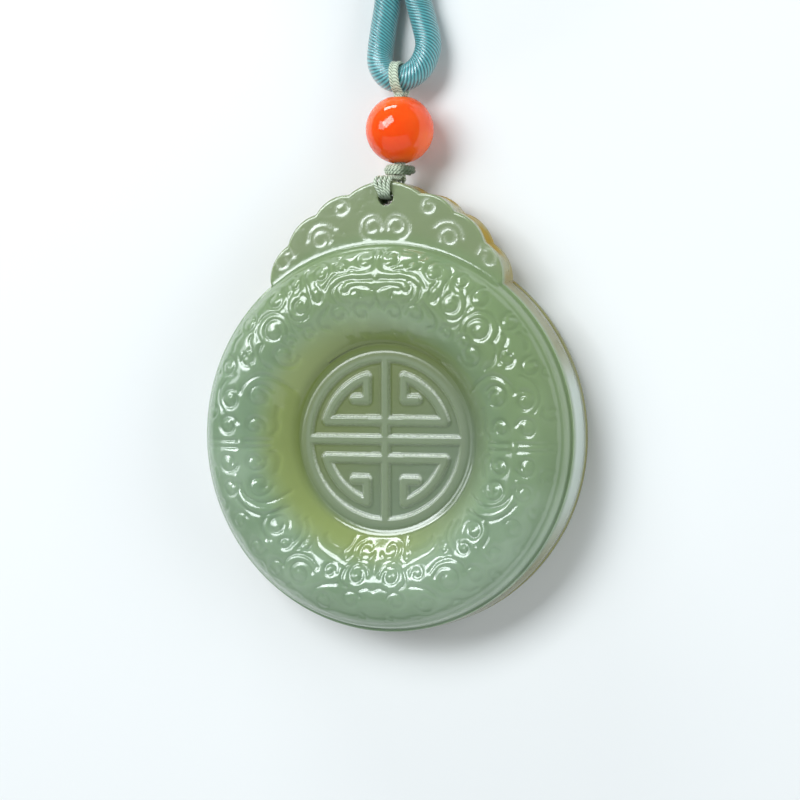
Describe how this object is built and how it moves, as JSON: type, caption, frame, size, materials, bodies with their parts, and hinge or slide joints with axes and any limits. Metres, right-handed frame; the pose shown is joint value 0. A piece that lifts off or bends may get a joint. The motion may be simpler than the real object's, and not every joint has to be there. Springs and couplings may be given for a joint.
{
  "type": "carved jade pendant on a cord",
  "caption": "Round jade pendant with a raised scrolled ring, a sunk medallion and a lobed crest, on thread with a knot, a bead and a closed neck cord, lying on its back.",
  "frame": {"origin": "middle of the disc's flat back, which lies on the surface", "axes": "+Y from the disc's middle to the crest's top, +Z out of the carved face, +X to the right of someone who looks at that face with the crest up"},
  "size_m": [0.0476, 0.1285, 0.0109],
  "materials": {
    "jade": "polished, slightly milky green jade",
    "thread": "fine twisted sage thread",
    "bead": "glossy orange-red bead",
    "cord": "teal cord wrapped in thread"
  },
  "bodies": {
    "root": {"jade_pendant": "jade", "hanging_thread_1": "thread", "hanging_thread_2": "thread", "wrapped_knot": "thread", "bead": "bead", "neck_cord": "cord", "neck_cord_end_1": "cord", "neck_cord_end_2": "cord", "neck_cord_coil": "cord", "neck_cord_knot": "cord"}
  },
  "joints": []
}
